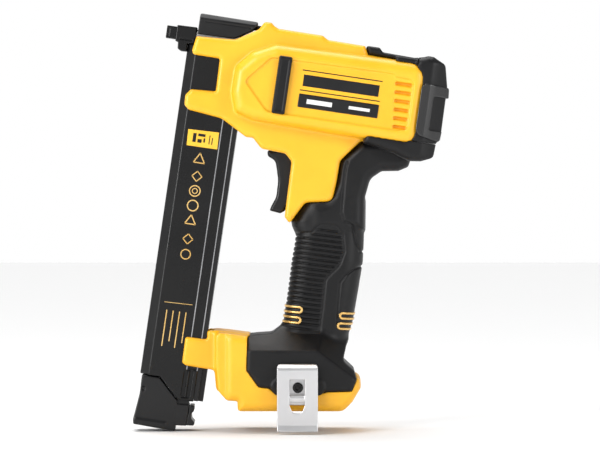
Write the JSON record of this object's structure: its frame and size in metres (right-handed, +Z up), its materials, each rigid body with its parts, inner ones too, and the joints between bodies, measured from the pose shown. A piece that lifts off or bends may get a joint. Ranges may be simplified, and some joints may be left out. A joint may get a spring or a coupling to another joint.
{
  "type": "cordless cable stapler",
  "caption": "Bare cordless brad-nailer style stapler with yellow shells, dark grip and foot, tall black bottom-load magazine, stepped nose and bright belt hook.",
  "frame": {"origin": "centre of the battery dock face on the underside of the foot", "axes": "+Z up with the battery foot level, muzzle towards -X, belt-hook side at -Y"},
  "size_m": [0.2236, 0.088, 0.2973],
  "materials": {
    "yellow_shell": "satin",
    "dark_overmould": "matte",
    "dark_plastic": "satin",
    "magazine_paint": "satin",
    "steel": "satin",
    "spring_steel": "satin",
    "bright_trim": "satin",
    "gold_trim": "satin",
    "plate_grey": "satin",
    "cast_frame": "cast",
    "brass": "machined",
    "bumper_rubber": "matte",
    "copper": "satin",
    "board": "satin",
    "label": "satin",
    "wire": "satin"
  },
  "bodies": {
    "tool_body": {"housing_left": "yellow_shell", "housing_right": "yellow_shell", "overmould_left": "dark_overmould", "overmould_right": "dark_overmould", "top_strips": "dark_overmould", "side_bumpers": "dark_overmould", "nameplates": "plate_grey", "grip_bands": "gold_trim", "rear_guard": "dark_plastic", "neck_seal": "dark_overmould", "housing_screws": "steel", "hinge_pin": "steel", "nose_block": "magazine_paint", "driver_guide": "steel", "bumper": "bumper_rubber", "magazine_channel": "magazine_paint", "magazine_back": "dark_plastic", "edge_trims": "bright_trim", "release_rods": "magazine_paint", "magazine_sticker": "label", "switch_body": "dark_plastic", "gas_cylinder": "steel", "motor_can": "steel", "motor_stator": "copper", "bearings": "steel", "gear_frame": "cast_frame", "gear_cover": "cast_frame", "belt_hook": "steel", "hook_screw": "magazine_paint", "hook_inserts": "brass", "battery_rails": "dark_plastic", "terminal_block": "dark_plastic", "terminals": "brass", "control_board": "board", "wires": "wire"},
    "nose_cover_body": {"nose_cover": "dark_plastic"},
    "contact_trip_body": {"contact_trip": "magazine_paint", "trip_spring": "spring_steel"},
    "trigger_body": {"trigger": "dark_plastic", "switch_plunger": "dark_plastic", "trigger_spring": "spring_steel"},
    "tray_body": {"magazine_tray": "steel", "staple_bar": "steel", "end_cap": "dark_plastic", "latch_pin": "steel", "spring_ribbon": "spring_steel"},
    "latch_body": {"magazine_latch": "dark_plastic"},
    "pusher_body": {"pusher": "dark_plastic", "roll_spring": "spring_steel"},
    "driver_body": {"driver_carriage": "steel", "driver_blade": "steel"},
    "lift_body": {"lift_wheel": "steel", "lift_shaft": "steel", "final_gear": "steel"},
    "idler_body": {"idler_gears": "steel", "idler_shaft": "steel"},
    "rotor_body": {"motor_pinion": "steel", "rotor_shaft": "steel", "motor_rotor": "steel", "motor_fan": "dark_plastic"}
  },
  "joints": [
    {"name": "trigger_pull", "type": "slide", "parent": "tool_body", "child": "trigger_body", "axis": [1, 0, 0], "range_m": [0, 0.006], "stiffness_N_per_m": 350},
    {"name": "contact_press", "type": "slide", "parent": "tool_body", "child": "contact_trip_body", "axis": [0.9895, 0, -0.1444], "range_m": [0, 0.005], "stiffness_N_per_m": 300},
    {"name": "cover_open", "type": "hinge", "parent": "tool_body", "child": "nose_cover_body", "pos_m": [-0.02326, 0, 0.26974], "axis": [0, 1, 0], "range_deg": [0, 70]},
    {"name": "tray_pull", "type": "slide", "parent": "tool_body", "child": "tray_body", "axis": [-0.1444, 0, -0.9895], "range_m": [0, 0.12]},
    {"name": "latch_press", "type": "hinge", "parent": "tray_body", "child": "latch_body", "pos_m": [-0.0839, 0, -0.00741], "axis": [0, 1, 0], "range_deg": [0, 12], "stiffness_Nm_per_rad": 0.15},
    {"name": "pusher_slide", "type": "slide", "parent": "tray_body", "child": "pusher_body", "axis": [-0.1444, 0, -0.9895], "range_m": [0, 0.18]},
    {"name": "lift_turn", "type": "hinge", "parent": "tool_body", "child": "lift_body", "pos_m": [0.02201, 0, 0.22675], "axis": [0, 1, 0], "range_deg": [0, 139]},
    {"name": "driver_slide", "type": "slide", "parent": "tool_body", "child": "driver_body", "axis": [0.9895, 0, -0.1444], "range_m": [0, 0.0348]},
    {"name": "idler_turn", "type": "hinge", "parent": "tool_body", "child": "idler_body", "pos_m": [0.0482, 0, 0.21938], "axis": [0, 1, 0], "range_deg": [-665, 1]},
    {"name": "rotor_turn", "type": "hinge", "parent": "tool_body", "child": "rotor_body", "pos_m": [0.06668, 0, 0.21417], "axis": [0, 1, 0], "range_deg": [-1, 2520]}
  ],
  "couplings": [
    {"joint": "driver_slide", "follows": "lift_turn", "m_per_rad": 0.014},
    {"joint": "idler_turn", "follows": "lift_turn", "ratio": -4.6667},
    {"joint": "rotor_turn", "follows": "lift_turn", "ratio": 17.733}
  ]
}
